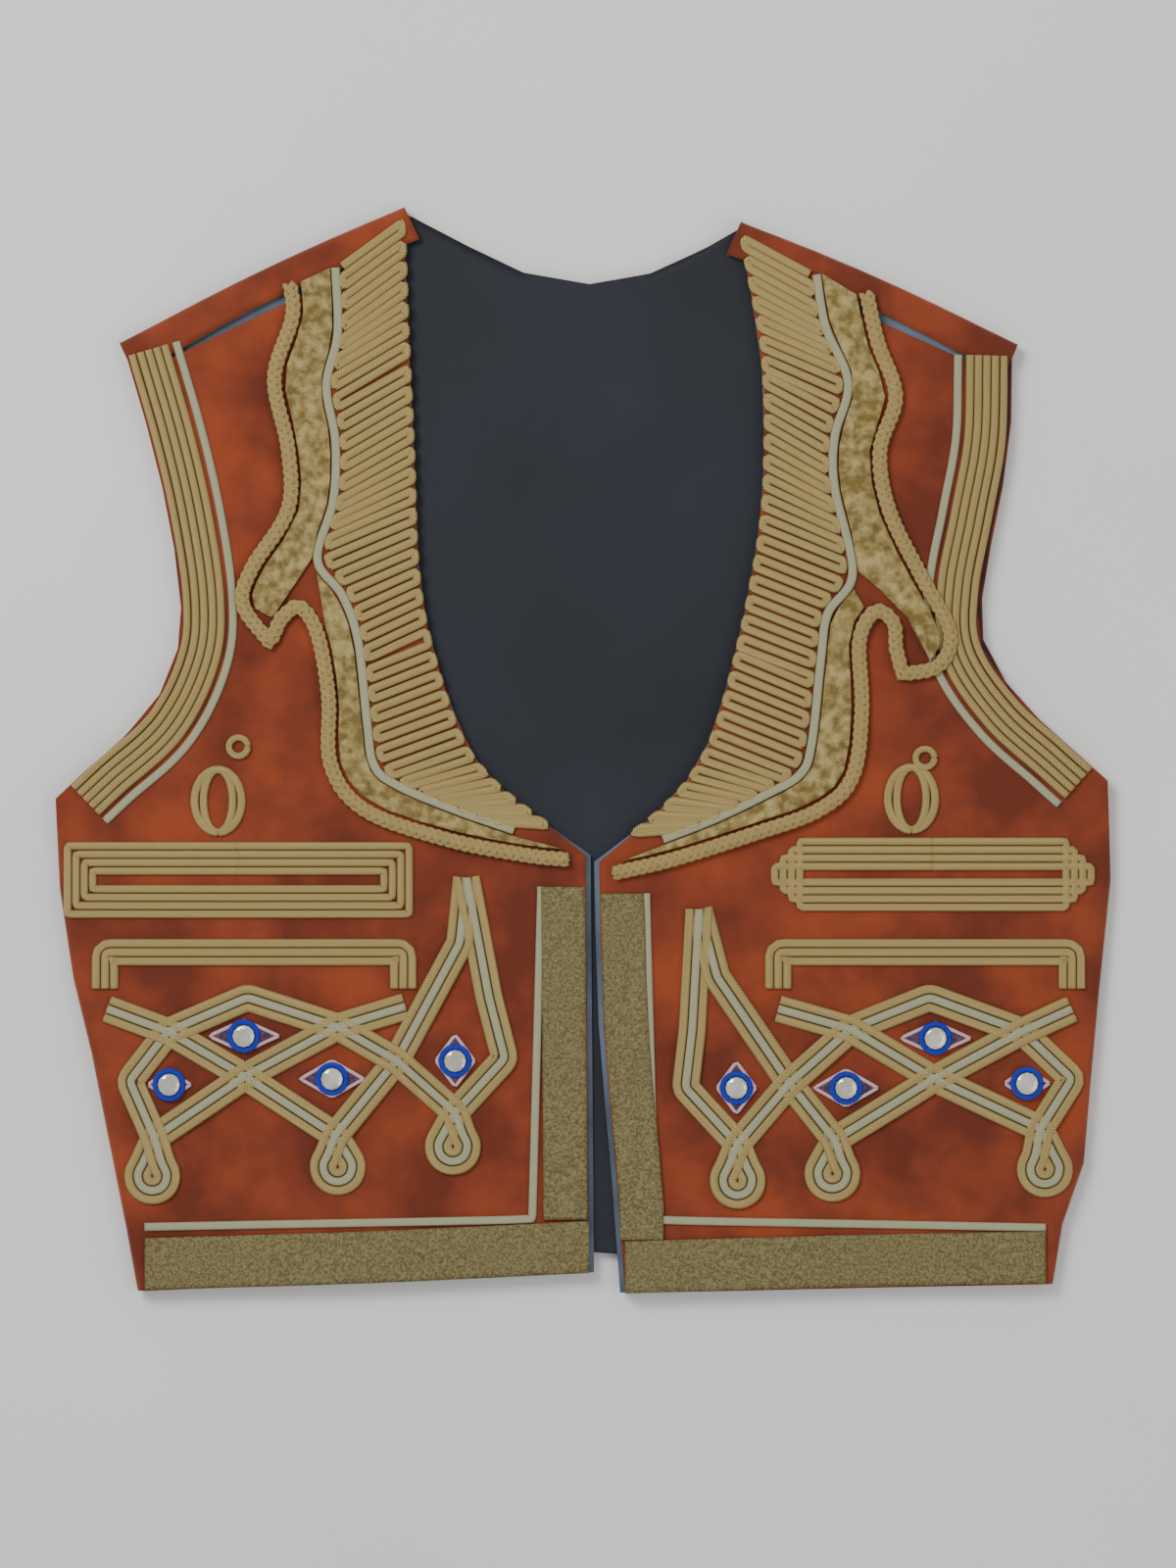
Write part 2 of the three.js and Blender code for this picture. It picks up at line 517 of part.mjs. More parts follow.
// ---- knotwork ---------------------------------------------------------------------------------------------------
const v = ([x, y]) => new THREE.Vector2(x, y);
const run = (points, turn = 9) => filleted(points.map(([x, y]) => [x, y, turn]), 20, 0.75);
// Half of the loop under a foot: down one side of the ring to its lowest point.
function footHalf([x, y], hand) {
  return [90, 50, 10, -30, -60, -90].map((a) => {
    const angle = (a * Math.PI) / 180;
    return [x + hand * FOOT_R * Math.cos(angle), y + FOOT_R * Math.sin(angle)];
  }).slice(1);
}
for (const side of ['r', 'l']) {
  const k = KNOT[side];
  const s = CUT[side].sign;
  const on = onFront(side);
  const runs = [
    [k.start, k.crossOut, k.middle, k.footMid, ...footHalf(k.feet.mid, -s)],
    [...footHalf(k.feet.mid, s).reverse(), k.footMid, k.meet, k.neck, k.tall],
    [k.tall, k.side, k.inPoint, k.footIn, ...footHalf(k.feet.in, s)],
    [...footHalf(k.feet.in, -s).reverse(), k.footIn, k.meet, k.crossIn, k.peak, k.crossOut, k.outPoint, k.footOut,
      ...footHalf(k.feet.out, -s)],
    [...footHalf(k.feet.out, s).reverse(), k.footOut, k.middle, k.crossIn, k.end],
  ];
  const solids = runs.map((points) => ribbon(run(points), TRIPLE - 0.8, LAY, LAY + BRAID_H, on));
  piece(`knotwork_${side}`, 'braid', joined(solids));

  // The long frames: braid laid flat round a slit. Each is two halves joined end to end.
  const { upper, lower } = k;
  const [out, mid, inn] = [upper.x[0], (upper.x[0] + upper.x[1]) / 2, upper.x[1]];
  const half = (a) => run([[mid - 0.5 * Math.sign(a - mid), upper.top], [a, upper.top], [a, upper.low],
    [mid - 0.5 * Math.sign(a - mid), upper.low]], 7);
  const frame = [half(out), half(inn)].map((line) => ribbon(line, 14.5, LAY, LAY + BRAID_H, on));
  piece(`frame_upper_${side}`, 'braid', joined(frame));
  const arch = run([[lower.x[0], lower.foot], [lower.x[0], lower.top], [lower.x[1], lower.top], [lower.x[1], lower.foot]], 8);
  piece(`frame_lower_${side}`, 'braid', ribbon(arch, 12, LAY, LAY + BRAID_H, on));

  // The finial over the upper frame: a pear-shaped loop closed by a small ring.
  const pear = Array.from({ length: 17 }, (_, i) => {
    const a = (i / 16) * 2 * Math.PI - Math.PI / 2;
    return v([k.finial[0] + 9.5 * Math.cos(a), k.finial[1] + 5 + 14 * Math.sin(a)]);
  });
  const pearSolid = sheet([...Array(9)].map((_, i) => {
    const [a, b] = [pear[i], pear[16 - i]];
    return i === 0 || i === 8 ? [a.clone().setX(a.x + 0.5), a.clone().setX(a.x - 0.5)] : [a, b];
  }), LAY, LAY + BRAID_H, on);
  const ring = sheet([...Array(7)].map((_, i) => {
    const a = (i / 6) * Math.PI - Math.PI / 2;
    const half2 = Math.max(0.5, 6 * Math.cos(a));
    return [v([k.ring[0] + half2, k.ring[1] + 7 * Math.sin(a)]), v([k.ring[0] - half2, k.ring[1] + 7 * Math.sin(a)])];
  }), LAY, LAY + BRAID_H, on);
  const bridge = ribbon([v(k.finial), v(k.ring)], 5, LAY, LAY + BRAID_H, on);
  piece(`finial_${side}`, 'braid', joined([pearSolid, ring, bridge]));

  // Cloth diamonds in the knot's openings, each with a round mirror in a stitched rim.
  k.diamonds.forEach(([x, y, w, h], i) => {
    const corners = [[w, 0], [0, h], [-w, 0], [0, -h]].map(([a, b]) => v([x + a, y + b]));
    const rows = [[corners[1].clone().setX(x - 0.8), corners[1].clone().setX(x + 0.8)], [corners[2], corners[0]],
      [corners[3].clone().setX(x - 0.8), corners[3].clone().setX(x + 0.8)]];
    piece(`diamond_${i + 1}_${side}`, 'patch', sheet(rows, LAY, LAY + PATCH_H, on));
    const base = on(x, y, LAY + PATCH_H + LAY);
    const rim = new THREE.Shape();
    rim.absarc(0, 0, MIRROR_R + RIM_W, 0, 2 * Math.PI, false);
    const hole = new THREE.Path();
    hole.absarc(0, 0, MIRROR_R, 0, 2 * Math.PI, true);
    rim.holes.push(hole);
    const rimSolid = new THREE.ExtrudeGeometry(rim, { depth: STUD_H + 0.4, bevelEnabled: false, curveSegments: 6 });
    rimSolid.translate(base[0], base[1], base[2] + 0.1);
    piece(`mirror_rim_${i + 1}_${side}`, 'rim', rimSolid);
    const glass = new THREE.CylinderGeometry(MIRROR_R - GAP, MIRROR_R - GAP, STUD_H, 12);
    glass.rotateX(Math.PI / 2);
    glass.translate(base[0], base[1], base[2] + 0.1 + STUD_H / 2);
    piece(`mirror_${i + 1}_${side}`, 'mirror', glass);
  });
}

export default vest;
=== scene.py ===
"""Embroidered folk vest, laid flat: rust velvet, dark lining, gold braid. Metres in the shared frame."""

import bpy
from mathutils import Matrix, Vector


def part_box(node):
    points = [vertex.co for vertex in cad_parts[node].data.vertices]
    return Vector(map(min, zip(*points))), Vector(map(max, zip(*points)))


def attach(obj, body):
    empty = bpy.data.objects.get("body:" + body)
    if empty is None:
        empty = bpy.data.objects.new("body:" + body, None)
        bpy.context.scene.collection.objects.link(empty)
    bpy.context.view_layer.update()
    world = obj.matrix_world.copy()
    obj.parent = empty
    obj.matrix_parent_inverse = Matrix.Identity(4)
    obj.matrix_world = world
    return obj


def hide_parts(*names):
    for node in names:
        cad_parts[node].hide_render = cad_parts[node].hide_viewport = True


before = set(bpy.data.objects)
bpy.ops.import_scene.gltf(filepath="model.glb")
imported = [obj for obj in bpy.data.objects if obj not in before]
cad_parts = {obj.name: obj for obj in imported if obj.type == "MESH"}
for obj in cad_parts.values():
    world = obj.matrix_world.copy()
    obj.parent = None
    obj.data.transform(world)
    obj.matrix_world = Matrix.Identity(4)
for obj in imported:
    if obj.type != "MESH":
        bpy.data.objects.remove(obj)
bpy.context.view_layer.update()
import math

import bmesh
import bpy
import numpy as np
from mathutils import Vector

MM = 0.001
MIDDLE_Z = 0.0050  # the folds' axis
FACE_Z = 0.0087  # the front velvet's face
ARCH_FOOT = -104  # where the lower frame's ends stop, in millimetres

# The cut, the collar and the knotwork, each row [x, y] in millimetres. r is the wearer's right.
CUT = {
    "r": {
        "sign": -1,
        "armhole": [[-233, -20], [-215, -3], [-192, 18], [-179, 44], [-177, 68], [-182, 103], [-190, 138],
            [-201, 176]],
        "neck": [[4, -45], [-20, -28], [-39, -12], [-53, 8], [-66, 46], [-72, 78], [-74, 125], [-77, 190],
            [-79, 240]],
    },
    "l": {
        "sign": 1,
        "armhole": [[233, -12], [214, 5], [193, 24], [177, 48], [176, 72], [182, 104], [188, 138],
            [189, 176]],
        "neck": [[5.5, -48], [34, -26], [50, -7], [60, 15], [70, 52], [77, 88], [81, 125], [80, 175],
            [70, 233]],
    },
}
COLLAR = {
    "r": {
        "chevron": [[-109, 215], [-108, 186], [-113, 163], [-109, 138], [-110, 112], [-117, 86], [-106, 70],
            [-99, 50], [-95, 14], [-92, -5], [-82, -14], [-56, -25], [-30, -34]],
        "edge": [[-129, 208], [-128, 193], [-136, 166], [-130, 135], [-130, 108], [-146, 82], [-150, 66],
            [-138, 49]],
        "notch": [[-133, 60], [-125, 65], [-117, 53], [-112, 25], [-111, -5], [-96, -25], [-60, -38],
            [-25, -45], [-6, -47]],
    },
    "l": {
        "chevron": [[104, 212], [108, 189], [118, 164], [112, 140], [112, 118], [120, 80], [109, 62],
            [106, 42], [102, 5], [97, -9], [82, -18], [59, -29], [36, -38]],
        "edge": [[126, 204], [131, 182], [139, 158], [132, 134], [136, 108], [150, 79], [163, 54],
            [158, 39], [142, 35]],
        "notch": [[139, 47], [138, 58], [130, 63], [123, 50], [124, 20], [120, -10], [105, -25], [75, -36],
            [40, -47], [14, -53]],
    },
}
KNOT = {
    "r": {
        "upper": {"x": [-222, -82], "top": -46.5, "low": -65.5},
        "lower": {"x": [-211, -79], "top": -88, "foot": -100},
        "start": [-210, -113],
        "end": [-78, -112],
        "crossOut": [-183, -123],
        "crossIn": [-108, -121],
        "peak": [-148, -108],
        "middle": [-149, -143],
        "outPoint": [-200, -145],
        "meet": [-82, -136],
        "inPoint": [-34, -135],
        "footOut": [-189, -170],
        "footMid": [-109, -169],
        "footIn": [-56, -159],
        "neck": [-54, -84],
        "tall": [-51, -55],
        "side": [-41, -108],
        "feet": {"out": [-190, -187], "mid": [-108, -183], "in": [-57, -174]},
        "finial": [-161, -26],
        "ring": [-152, 3],
        "link": [-153, -77],
        "diamonds": [[-149.5, -125, 15.5, 7], [-182.5, -146.5, 9.5, 6], [-110.5, -144, 14, 8],
            [-56, -136, 8.5, 11.5]],
    },
    "l": {
        "upper": {"x": [91, 220], "top": -44.5, "low": -62.5},
        "lower": {"x": [87, 217], "top": -88, "foot": -100},
        "start": [217, -113],
        "end": [87, -113],
        "crossOut": [195, -123],
        "crossIn": [119, -122],
        "peak": [154, -108],
        "middle": [156, -144],
        "outPoint": [217, -144],
        "meet": [92, -146],
        "inPoint": [46, -148],
        "footOut": [203, -166],
        "footMid": [112, -171],
        "footIn": [69, -173],
        "neck": [60, -99],
        "tall": [52, -69],
        "side": [49, -122],
        "feet": {"out": [205, -184], "mid": [111, -186], "in": [69, -189]},
        "finial": [146, -25],
        "ring": [152, -2],
        "link": [148, -75],
        "diamonds": [[156.5, -126, 15.5, 7], [197, -146, 10, 6.5], [117, -148, 14, 8],
            [68.5, -148, 8.5, 11.5]],
    },
}
R, L = "r", "l"


def spline(rows, step=0.0015):
    """Points along a smooth curve through the rows, in metres, evenly spaced."""
    p = np.array(rows, float) * MM
    ends = np.vstack([2 * p[0] - p[1], p, 2 * p[-1] - p[-2]])
    out = []
    for i in range(1, len(ends) - 2):
        a, b, c, d = ends[i - 1], ends[i], ends[i + 1], ends[i + 2]
        for t in np.linspace(0, 1, 24, endpoint=False):
            out.append(0.5 * (2 * b + (c - a) * t + (2 * a - 5 * b + 4 * c - d) * t * t
                              + (3 * b - a - 3 * c + d) * t ** 3))
    out.append(p[-1])
    return even(np.array(out), step)


def even(line, step):
    """The same polyline with evenly spaced points."""
    seg = np.linalg.norm(np.diff(line, axis=0), axis=1)
    keep = np.concatenate([[True], seg > 1e-7])
    line = line[keep]
    s = np.concatenate([[0], np.cumsum(np.linalg.norm(np.diff(line, axis=0), axis=1))])
    count = max(2, int(s[-1] / step))
    at = np.linspace(0, s[-1], count + 1)
    return np.stack([np.interp(at, s, line[:, k]) for k in range(2)], axis=1)


def rounded(rows, turn=7.0, step=0.0015):
    """A polyline through the rows with its corners worn round, evenly spaced."""
    line = even(np.array(rows, float) * MM, step)
    for _ in range(int((turn / (step / MM)) ** 2 / 6)):
        line[1:-1] = (line[:-2] + 2 * line[1:-1] + line[2:]) / 4
    return even(line, step)


def normals(line):
    d = np.gradient(line, axis=0)
    d /= np.maximum(1e-9, np.linalg.norm(d, axis=1))[:, None]
    return np.stack([-d[:, 1], d[:, 0]], axis=1)


def swell(x, y):
    """How far the laid cloth stands off its flat form at a place, in metres: soft hollows and quilting puckers."""
    wide = 1.1 * math.sin(17 * x + 1.3) * math.sin(14 * y + 0.4) + 0.6 * math.sin(41 * x - 23 * y)
    pucker = 0.30 * math.sin(520 * x + 4 * math.sin(60 * y)) * (0.5 + 0.5 * math.sin(95 * y + 37 * x))
    return (wide + pucker) * 0.0007


def top_z(x, y):
    return FACE_Z + swell(x, y)


def cords(verts, faces, uvs, line, width, height, base, place=None):
    """Adds a round-topped cord along the line. U runs across it and V along it, in metres."""
    n = normals(line)
    s = np.concatenate([[0], np.cumsum(np.linalg.norm(np.diff(line, axis=0), axis=1))])
    start = len(verts)
    profile = [(-1, 0), (-0.85, 0.6), (-0.4, 0.95), (0, 0.72), (0.4, 0.95), (0.85, 0.6), (1, 0)]
    lift = base if callable(base) else (lambda i: base)
    for i, p in enumerate(line):
        for a, h in profile:
            x, y = p + n[i] * a * width / 2
            verts.append((x, y, top_z(x, y) + lift(i) + h * height))
            uvs.append(((a + 1) / 2, s[i]))
    m = len(profile)
    for i in range(len(line) - 1):
        for j in range(m - 1):
            a = start + i * m + j
            faces.append((a, a + m, a + m + 1, a + 1))
        a = start + i * m
        faces.append((a, a + m - 1, a + 2 * m - 1, a + m))
    faces.append(tuple(start + j for j in range(m)))
    last = start + (len(line) - 1) * m
    faces.append(tuple(last + j for j in reversed(range(m))))


def made(name, verts, faces, uvs, material, slot_name, stands_for=()):
    """A finished piece from its points, faces and a U, V for each point."""
    name = name.replace(" ", "_")
    mesh = bpy.data.meshes.new(name)
    mesh.from_pydata([tuple(map(float, v)) for v in verts], [], faces)
    layer = mesh.uv_layers.new(name="along")
    for loop in mesh.loops:
        layer.data[loop.index].uv = uvs[loop.vertex_index]
    bm = bmesh.new()
    bm.from_mesh(mesh)
    bmesh.ops.recalc_face_normals(bm, faces=bm.faces)
    bm.to_mesh(mesh)
    bm.free()
    mesh.polygons.foreach_set("use_smooth", [True] * len(mesh.polygons))
    piece = bpy.data.objects.new(name, mesh)
    bpy.context.scene.collection.objects.link(piece)
    mesh.materials.append(material)
    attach(piece, "root")
    if stands_for:
        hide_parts(*stands_for)
    return piece


def laid(name, node, material, longest=5.0, rough=1.0):
    """Cloth on the form of a CAD node, cut finer and given the swell of the laid cloth."""
    name = name.replace(" ", "_")
    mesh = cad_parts[node].data.copy()
    mesh.name = name
    bm = bmesh.new()
    bm.from_mesh(mesh)
    bmesh.ops.remove_doubles(bm, verts=bm.verts, dist=2e-6)
    for _ in range(7):
        long = [e for e in bm.edges if e.calc_length() > longest * MM]
        if not long:
            break
        bmesh.ops.subdivide_edges(bm, edges=long, cuts=1)
        bmesh.ops.triangulate(bm, faces=bm.faces)
    for v in bm.verts:
        up = (v.co.z - MIDDLE_Z) / (FACE_Z - MIDDLE_Z)
        v.co.z += swell(v.co.x, v.co.y) * rough * max(0.0, min(1.0, up))
    bmesh.ops.recalc_face_normals(bm, faces=bm.faces)
    bm.to_mesh(mesh)
    bm.free()
    mesh.polygons.foreach_set("use_smooth", [True] * len(mesh.polygons))
    mesh.materials.clear()
    mesh.materials.append(material)
    piece = bpy.data.objects.new(name, mesh)
    bpy.context.scene.collection.objects.link(piece)
    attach(piece, "root")
    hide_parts(node)
    return piece


# ---- materials ----------------------------------------------------------------------------------------------

def node_group(name, colours, build):
    """A shared effect: colours are its colour inputs; build makes its inside and gives what goes out."""
    g = bpy.data.node_groups.new(name, "ShaderNodeTree")
    for label, kind in colours:
        g.interface.new_socket(label, in_out="INPUT", socket_type=kind)
    g.interface.new_socket("Colour", in_out="OUTPUT", socket_type="NodeSocketColor")
    g.interface.new_socket("Height", in_out="OUTPUT", socket_type="NodeSocketFloat")
    inside = g.nodes.new("NodeGroupInput")
    out = g.nodes.new("NodeGroupOutput")
    colour, height = build(g, inside)
    g.links.new(colour, out.inputs["Colour"])
    g.links.new(height, out.inputs["Height"])
    return g


def worn_cloth(g, inside):
    """Two colours mixed in soft patches with a fine grain."""
    place = g.nodes.new("ShaderNodeTexCoord")
    broad = g.nodes.new("ShaderNodeTexNoise")
    broad.inputs["Detail"].default_value = 6
    g.links.new(place.outputs["Object"], broad.inputs["Vector"])
    g.links.new(inside.outputs["Patch scale"], broad.inputs["Scale"])
    ramp = g.nodes.new("ShaderNodeMapRange")
    ramp.inputs["From Min"].default_value = 0.38
    ramp.inputs["From Max"].default_value = 0.64
    g.links.new(broad.outputs["Fac"], ramp.inputs["Value"])
    mixed = g.nodes.new("ShaderNodeMix")
    mixed.data_type = "RGBA"
    g.links.new(ramp.outputs["Result"], mixed.inputs["Factor"])
    g.links.new(inside.outputs["Dark"], mixed.inputs["A"])
    g.links.new(inside.outputs["Light"], mixed.inputs["B"])
    fine = g.nodes.new("ShaderNodeTexNoise")
    fine.inputs["Scale"].default_value = 2200
    g.links.new(place.outputs["Object"], fine.inputs["Vector"])
    return mixed.outputs["Result"], fine.outputs["Fac"]


def thread_colour_and_groove_shade(g, inside):
    """Slanting threads that lean both ways from the middle of a braid, the Dark colour in the grooves between them:
    painted groove shade for the gold and blue threads, the real second colour of the green-and-cream and
    pink-and-white braids.
    """
    uv = g.nodes.new("ShaderNodeUVMap")
    uv.uv_map = "along"
    parts = g.nodes.new("ShaderNodeSeparateXYZ")
    g.links.new(uv.outputs["UV"], parts.inputs["Vector"])

    def sums(kind, a, b):
        n = g.nodes.new("ShaderNodeMath")
        n.operation = kind
        for socket, value in zip(n.inputs, (a, b)):
            if isinstance(value, (int, float)):
                socket.default_value = value
            else:
                g.links.new(value, socket)
        return n.outputs[0]

    off_middle = sums("ABSOLUTE", sums("SUBTRACT", parts.outputs["X"], 0.5), 0)
    along = sums("ADD", sums("MULTIPLY", parts.outputs["Y"], 1250), sums("MULTIPLY", off_middle, 3.0))
    # wave is 0 in the grooves between threads (painted shade there for gold and blue) and 1 on the thread crowns
    wave = sums("ABSOLUTE", sums("SINE", sums("MULTIPLY", along, math.pi), 0), 0)
    mixed = g.nodes.new("ShaderNodeMix")
    mixed.data_type = "RGBA"
    g.links.new(wave, mixed.inputs["Factor"])
    g.links.new(inside.outputs["Dark"], mixed.inputs["A"])
    g.links.new(inside.outputs["Light"], mixed.inputs["B"])
    return mixed.outputs["Result"], wave


PAIR = [("Dark", "NodeSocketColor"), ("Light", "NodeSocketColor"), ("Patch scale", "NodeSocketFloat")]
worn = node_group("worn cloth", PAIR, worn_cloth)
braid_thread_and_groove_shade = node_group("thread colours and groove shade", PAIR, thread_colour_and_groove_shade)


def finish_of(name, group, dark, light, rough, metal=0.0, sheen=0.0, bump=0.3, patch=14.0, deep=0.0003):
    m = bpy.data.materials.new(name)
    m.use_nodes = True
    t = m.node_tree
    shader = t.nodes["Principled BSDF"]
    g = t.nodes.new("ShaderNodeGroup")
    g.node_tree = group
    g.inputs["Dark"].default_value = (*dark, 1)
    g.inputs["Light"].default_value = (*light, 1)
    g.inputs["Patch scale"].default_value = patch
    raised = t.nodes.new("ShaderNodeBump")
    raised.inputs["Strength"].default_value = bump
    raised.inputs["Distance"].default_value = deep
    t.links.new(g.outputs["Colour"], shader.inputs["Base Color"])
    t.links.new(g.outputs["Height"], raised.inputs["Height"])
    t.links.new(raised.outputs["Normal"], shader.inputs["Normal"])
    shader.inputs["Roughness"].default_value = rough
    shader.inputs["Metallic"].default_value = metal
    shader.inputs["Sheen Weight"].default_value = sheen
    shader.inputs["Sheen Roughness"].default_value = 0.35
    shader.inputs["Sheen Tint"].default_value = (1.0, 0.55, 0.35, 1)
    return m


VELVET = finish_of("rust velvet", worn, (0.13, 0.018, 0.004), (0.28, 0.045, 0.010), 0.9, sheen=0.6, bump=0.6, patch=26)
LINING = finish_of("dark lining", worn, (0.003, 0.005, 0.010), (0.008, 0.012, 0.022), 0.7, patch=9)
FACING = finish_of("grey facing", worn, (0.07, 0.09, 0.13), (0.13, 0.17, 0.23), 0.75, patch=30)
# the dark colour is painted shade in the grooves between the gold threads; the light colour is the gold itself
GOLD = finish_of("gold soutache", braid_thread_and_groove_shade, (0.10, 0.055, 0.012), (0.62, 0.46, 0.17), 0.5, 0.35, bump=0.8)
GREEN = finish_of("green and cream braid", braid_thread_and_groove_shade, (0.010, 0.12, 0.075), (0.62, 0.55, 0.34), 0.6, 0.1, bump=0.8)
BAND = finish_of("woven gold band", worn, (0.12, 0.09, 0.03), (0.26, 0.22, 0.09), 0.5, 0.4, bump=0.9, patch=900, deep=0.0005)
LAME = finish_of("gathered gold cloth", worn, (0.34, 0.24, 0.07), (0.75, 0.60, 0.25), 0.33, 0.7, bump=1.0, patch=220, deep=0.0012)
PATCH = finish_of("purple patch", worn, (0.03, 0.008, 0.03), (0.12, 0.04, 0.09), 0.7, patch=700)
# the dark blue is painted shade in the grooves between the blue threads; the light blue is the thread itself
BLUE = finish_of("blue thread", braid_thread_and_groove_shade, (0.0, 0.004, 0.20), (0.004, 0.03, 0.62), 0.6, bump=0.9)
PINK = finish_of("pink and white cord", braid_thread_and_groove_shade, (0.60, 0.05, 0.14), (0.85, 0.75, 0.75), 0.6, bump=0.8)
GLASS = finish_of("small mirror", worn, (0.60, 0.58, 0.50), (0.80, 0.79, 0.72), 0.12, 0.6, bump=0.05, patch=120)

# ---- cloth --------------------------------------------------------------------------------------------------
for side in (R, L):
    front = laid(f"velvet front {side}", f"front_velvet_{side}", VELVET, 3.2)
    inner = laid(f"front facing {side}", f"front_lining_{side}", FACING, 9.0)
back = laid("velvet back", "back_velvet", VELVET, 6.0)
back_lining = laid("back lining", "back_lining", LINING, 7.0, rough=2.0)
for node, label, finish, kind, cut in (
    [(f"hem_band_{s}", f"hem band {s}", BAND, "band", 3.0) for s in (R, L)]
    + [(f"front_band_{s}", f"front band {s}", BAND, "band", 3.0) for s in (R, L)]
    + [("hem_band_back", "back hem band", BAND, "band", 6.0)]
    + [(f"collar_lapel_{s}", f"gold lapel {s}", LAME, "lame", 2.0) for s in (R, L)]
    + [(f"collar_lower_{s}", f"gold collar {s}", LAME, "lame", 2.0) for s in (R, L)]
    + [(f"diamond_{i}_{s}", f"patch {i} {s}", PATCH, "patch", 3.0) for s in (R, L) for i in (1, 2, 3, 4)]
    + [(f"mirror_{i}_{s}", f"mirror {i} {s}", GLASS, "mirror", 3.0) for s in (R, L) for i in (1, 2, 3, 4)]
):
    laid(label, node, finish, cut)

# ---- braid --------------------------------------------------------------------------------------------------
for side in (R, L):
    s = CUT[side]["sign"]
    V, F, U = [], [], []
    hole = spline(CUT[side]["armhole"])[6:]
    n = normals(hole)
    for row in range(5):
        wide = 3.75 if row else 3.4
        cords(V, F, U, hole + n * s * (2.0 + 3.75 * row) * MM, wide * MM, 1.7 * MM, 0.3 * MM)
    made(f"armhole braid {side}", V, F, U, GOLD, "braid", [f"armhole_braid_{side}"])
    V, F, U = [], [], []
    cords(V, F, U, hole + n * s * 22.3 * MM, 3.8 * MM, 1.2 * MM, 0.3 * MM)
    made(f"armhole chevron {side}", V, F, U, GREEN, "chevron", [f"armhole_chevron_{side}"])

    chevron = spline(COLLAR[side]["chevron"])
    V, F, U = [], [], []
    cords(V, F, U, chevron, 4.2 * MM, 1.6 * MM, 0.4 * MM)
    made(f"collar chevron {side}", V, F, U, GREEN, "chevron", [f"collar_chevron_{side}"])

    # the looped braid: one soutache laid to and fro between the neck edge and the chevron
    neck = spline(CUT[side]["neck"][::-1])
    turns = 64
    path = []
    for k in range(turns):
        t = (k + 0.5) / turns
        a = neck[int(t * 0.93 * (len(neck) - 1)) + int(0.01 * len(neck))]
        b = chevron[int(t * 0.97 * (len(chevron) - 1))]
        path += [a * 0.97 + b * 0.03, b * 0.90 + a * 0.10] if k % 2 else [b * 0.90 + a * 0.10, a * 0.97 + b * 0.03]
    loops = rounded(np.array(path) / MM, 1.6, 0.0012)
    V, F, U = [], [], []
    cords(V, F, U, loops, 4.0 * MM, 1.7 * MM, 0.3 * MM)
    made(f"looped braid {side}", V, F, U, GOLD, "braid", [f"collar_loops_{side}"])

    # the plaited edge: three cords that pass over and under each other
    edge = np.vstack([spline(COLLAR[side]["edge"]), spline(COLLAR[side]["notch"])])
    edge = even(edge, 0.0012)
    n = normals(edge)
    V, F, U = [], [], []
    for strand in range(3):
        phase = 2 * math.pi * strand / 3
        turn = np.arange(len(edge)) * 0.0012 / 0.011 * 2 * math.pi + phase
        line = edge + n * (np.sin(turn) * 2.2 * MM)[:, None]
        rise = 2.4 * MM + np.cos(2 * turn) * 0.5 * MM
        cords(V, F, U, line, 2.9 * MM, 1.3 * MM, lambda i, rise=rise: rise[i])
    made(f"plaited edge {side}", V, F, U, GOLD, "braid", [f"collar_plait_{side}"])

    # knotwork: gold, green, gold along every run, over and under at its crossings
    k = KNOT[side]

    def foot(name, hand):
        x, y = k["feet"][name]
        return [(x + hand * 6.8 * math.cos(math.radians(a)), y + 6.8 * math.sin(math.radians(a)))
                for a in (50, 10, -30, -60, -90)]

    runs = [
        [k["start"], k["crossOut"], k["middle"], k["footMid"], *foot("mid", -s), *foot("mid", s)[::-1], k["footMid"],
         k["meet"], k["neck"], k["tall"]],
        [k["tall"], k["side"], k["inPoint"], k["footIn"], *foot("in", s), *foot("in", -s)[::-1], k["footIn"],
         k["meet"], k["crossIn"], k["peak"], k["crossOut"], k["outPoint"], k["footOut"], *foot("out", -s),
         *foot("out", s)[::-1], k["footOut"], k["middle"], k["crossIn"], k["end"]],
    ]
    gold, green = ([], [], []), ([], [], [])
    for number, rows in enumerate(runs):
        line = rounded(rows, 4.0)
        n = normals(line)
        steps = np.arange(len(line)) * 0.0015
        rise = (0.5 + 0.45 * np.sin(steps / 0.038 * math.pi + 2.1 * number)) * MM
        for off, store, wide in ((-4.1, gold, 4.1), (4.1, gold, 4.1), (0, green, 3.9)):
            cords(*store, line + n * off * MM, wide * MM, 1.7 * MM, lambda i, rise=rise: rise[i])
    (out_x, in_x), arch_top = k["lower"]["x"], k["lower"]["top"]
    arch = rounded([[out_x, ARCH_FOOT], [out_x, arch_top], [in_x, arch_top], [in_x, ARCH_FOOT]], 5.0)
    for row in (-1, 0, 1):
        cords(*gold, arch + normals(arch) * row * 4.0 * MM, 4.0 * MM, 1.6 * MM, 0.3 * MM)
    made(f"knot gold {side}", *gold, GOLD, "braid", [f"knotwork_{side}", f"frame_lower_{side}"])
    made(f"knot green {side}", *green, GREEN, "chevron")

    u = k["upper"]
    V, F, U = [], [], []
    for row in range(4):
        d = -5.5 + 3.7 * row
        box = [[(u["x"][0] + u["x"][1]) / 2, u["top"] + d], [u["x"][0] - d * -s, u["top"] + d],
               [u["x"][0] - d * -s, u["low"] - d], [(u["x"][0] + u["x"][1]) / 2, u["low"] - d],
               [u["x"][1] + d * -s, u["low"] - d], [u["x"][1] + d * -s, u["top"] + d],
               [(u["x"][0] + u["x"][1]) / 2, u["top"] + d]]
        cords(V, F, U, rounded(box, 3.5), 3.7 * MM, 1.6 * MM, 0.3 * MM)
    made(f"upper frame {side}", V, F, U, GOLD, "braid", [f"frame_upper_{side}"])

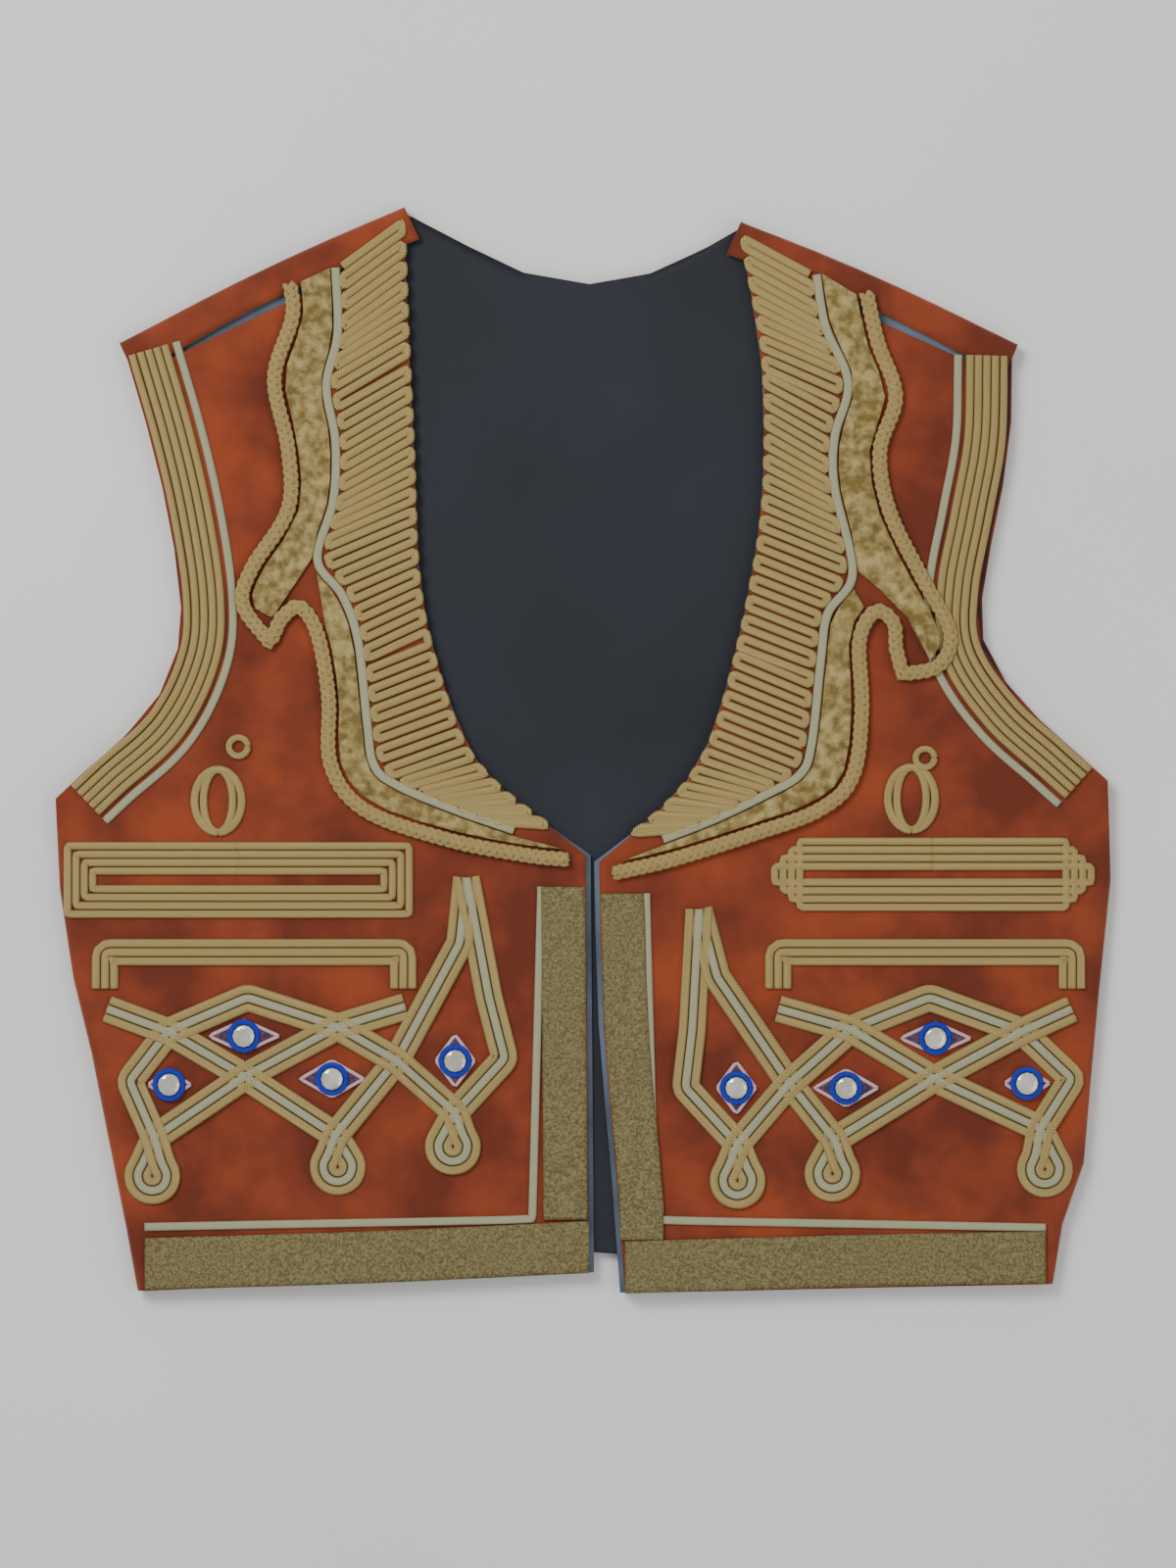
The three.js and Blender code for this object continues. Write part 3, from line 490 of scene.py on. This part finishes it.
    cx, cy = k["finial"]
    pear = [[cx + w * math.sin(a) * 1.0, cy + 5 - 14 * math.cos(a)] for w in (10.5, 6.5)
            for a in np.linspace(0, 2 * math.pi, 22)]
    V, F, U = [], [], []
    cords(V, F, U, rounded(pear[:22], 1.0), 3.9 * MM, 1.6 * MM, 0.3 * MM)
    cords(V, F, U, rounded(pear[22:], 1.0), 3.7 * MM, 1.6 * MM, 0.3 * MM)
    rx, ry = k["ring"]
    ring = [[rx + 4.2 * math.cos(a), ry + 4.2 * math.sin(a)] for a in np.linspace(0, 2 * math.pi, 16)]
    cords(V, F, U, rounded(ring, 0.5), 3.2 * MM, 1.6 * MM, 0.6 * MM)
    made(f"finial {side}", V, F, U, GOLD, "braid", [f"finial_{side}"])

    V, F, U = [], [], []
    P, Q, W = [], [], []
    for x, y, w, h in k["diamonds"]:
        ring = [[x + 6.2 * math.cos(a), y + 6.2 * math.sin(a)] for a in np.linspace(0, 2 * math.pi, 20)]
        cords(V, F, U, rounded(ring, 0.5, 0.001), 2.6 * MM, 1.4 * MM, 1.5 * MM)
        lozenge = [[x + w, y], [x, y + h], [x - w, y], [x, y - h], [x + w, y]]
        cords(P, Q, W, rounded(lozenge, 0.6), 1.6 * MM, 1.0 * MM, 0.9 * MM)
    made(f"mirror rims {side}", V, F, U, BLUE, "rim", [f"mirror_rim_{i}_{side}" for i in (1, 2, 3, 4)])
    made(f"patch cords {side}", P, Q, W, PINK, "patch")

    lo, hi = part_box(f"front_chevron_{side}")
    x0 = (lo.x if side == L else hi.x) / MM + s * 1.9
    x1 = (hi.x if side == L else lo.x) / MM
    run = [[x1, lo.y / MM + 2.5], [x0 + s * 12, lo.y / MM + 5.5], [x0, lo.y / MM + 6], [x0 - s * 4, hi.y / MM]]
    V, F, U = [], [], []
    cords(V, F, U, rounded(run, 1.5), 3.8 * MM, 1.2 * MM, 0.4 * MM)
    made(f"band chevron {side}", V, F, U, GREEN, "chevron", [f"front_chevron_{side}"])

# ---- table, light and camera --------------------------------------------------------------------------------
floor_mesh = bpy.data.meshes.new("floor")
floor_mesh.from_pydata([(-3, -3, 0), (3, -3, 0), (3, 3, 0), (-3, 3, 0)], [], [(0, 1, 2, 3)])
floor = bpy.data.objects.new("floor", floor_mesh)
bpy.context.scene.collection.objects.link(floor)
floor_mesh.materials.append(finish_of("pale table", worn, (0.80, 0.80, 0.79), (0.84, 0.84, 0.83), 0.8, bump=0.02, patch=3))

world = bpy.data.worlds.new("studio")
bpy.context.scene.world = world
world.use_nodes = True
world.node_tree.nodes["Background"].inputs["Color"].default_value = (1, 1, 1, 1)
world.node_tree.nodes["Background"].inputs["Strength"].default_value = 0.55
for label, place, power, size in (("key", (-0.9, 0.9, 1.6), 26, 0.8), ("fill", (1.2, -0.5, 1.5), 8, 1.4)):
    lamp = bpy.data.lights.new(label, "AREA")
    lamp.energy, lamp.size = power, size
    light = bpy.data.objects.new(label, lamp)
    light.location = place
    light.rotation_euler = (-Vector(place)).to_track_quat("-Z", "Y").to_euler()
    bpy.context.scene.collection.objects.link(light)

SENSOR, LENS = 24, 85  # millimetres
SEEN, TOP_Z = 0.694, 0.01  # height of the view at the garment, and the garment's top
VIEW_X, VIEW_Y = 0.0028, -0.0135
view = bpy.data.cameras.new("view")
view.sensor_fit = "VERTICAL"
view.sensor_height, view.lens = SENSOR, LENS
camera = bpy.data.objects.new("view", view)
camera.location = (VIEW_X, VIEW_Y, SEEN / SENSOR * LENS + TOP_Z)
bpy.context.scene.collection.objects.link(camera)
bpy.context.scene.camera = camera
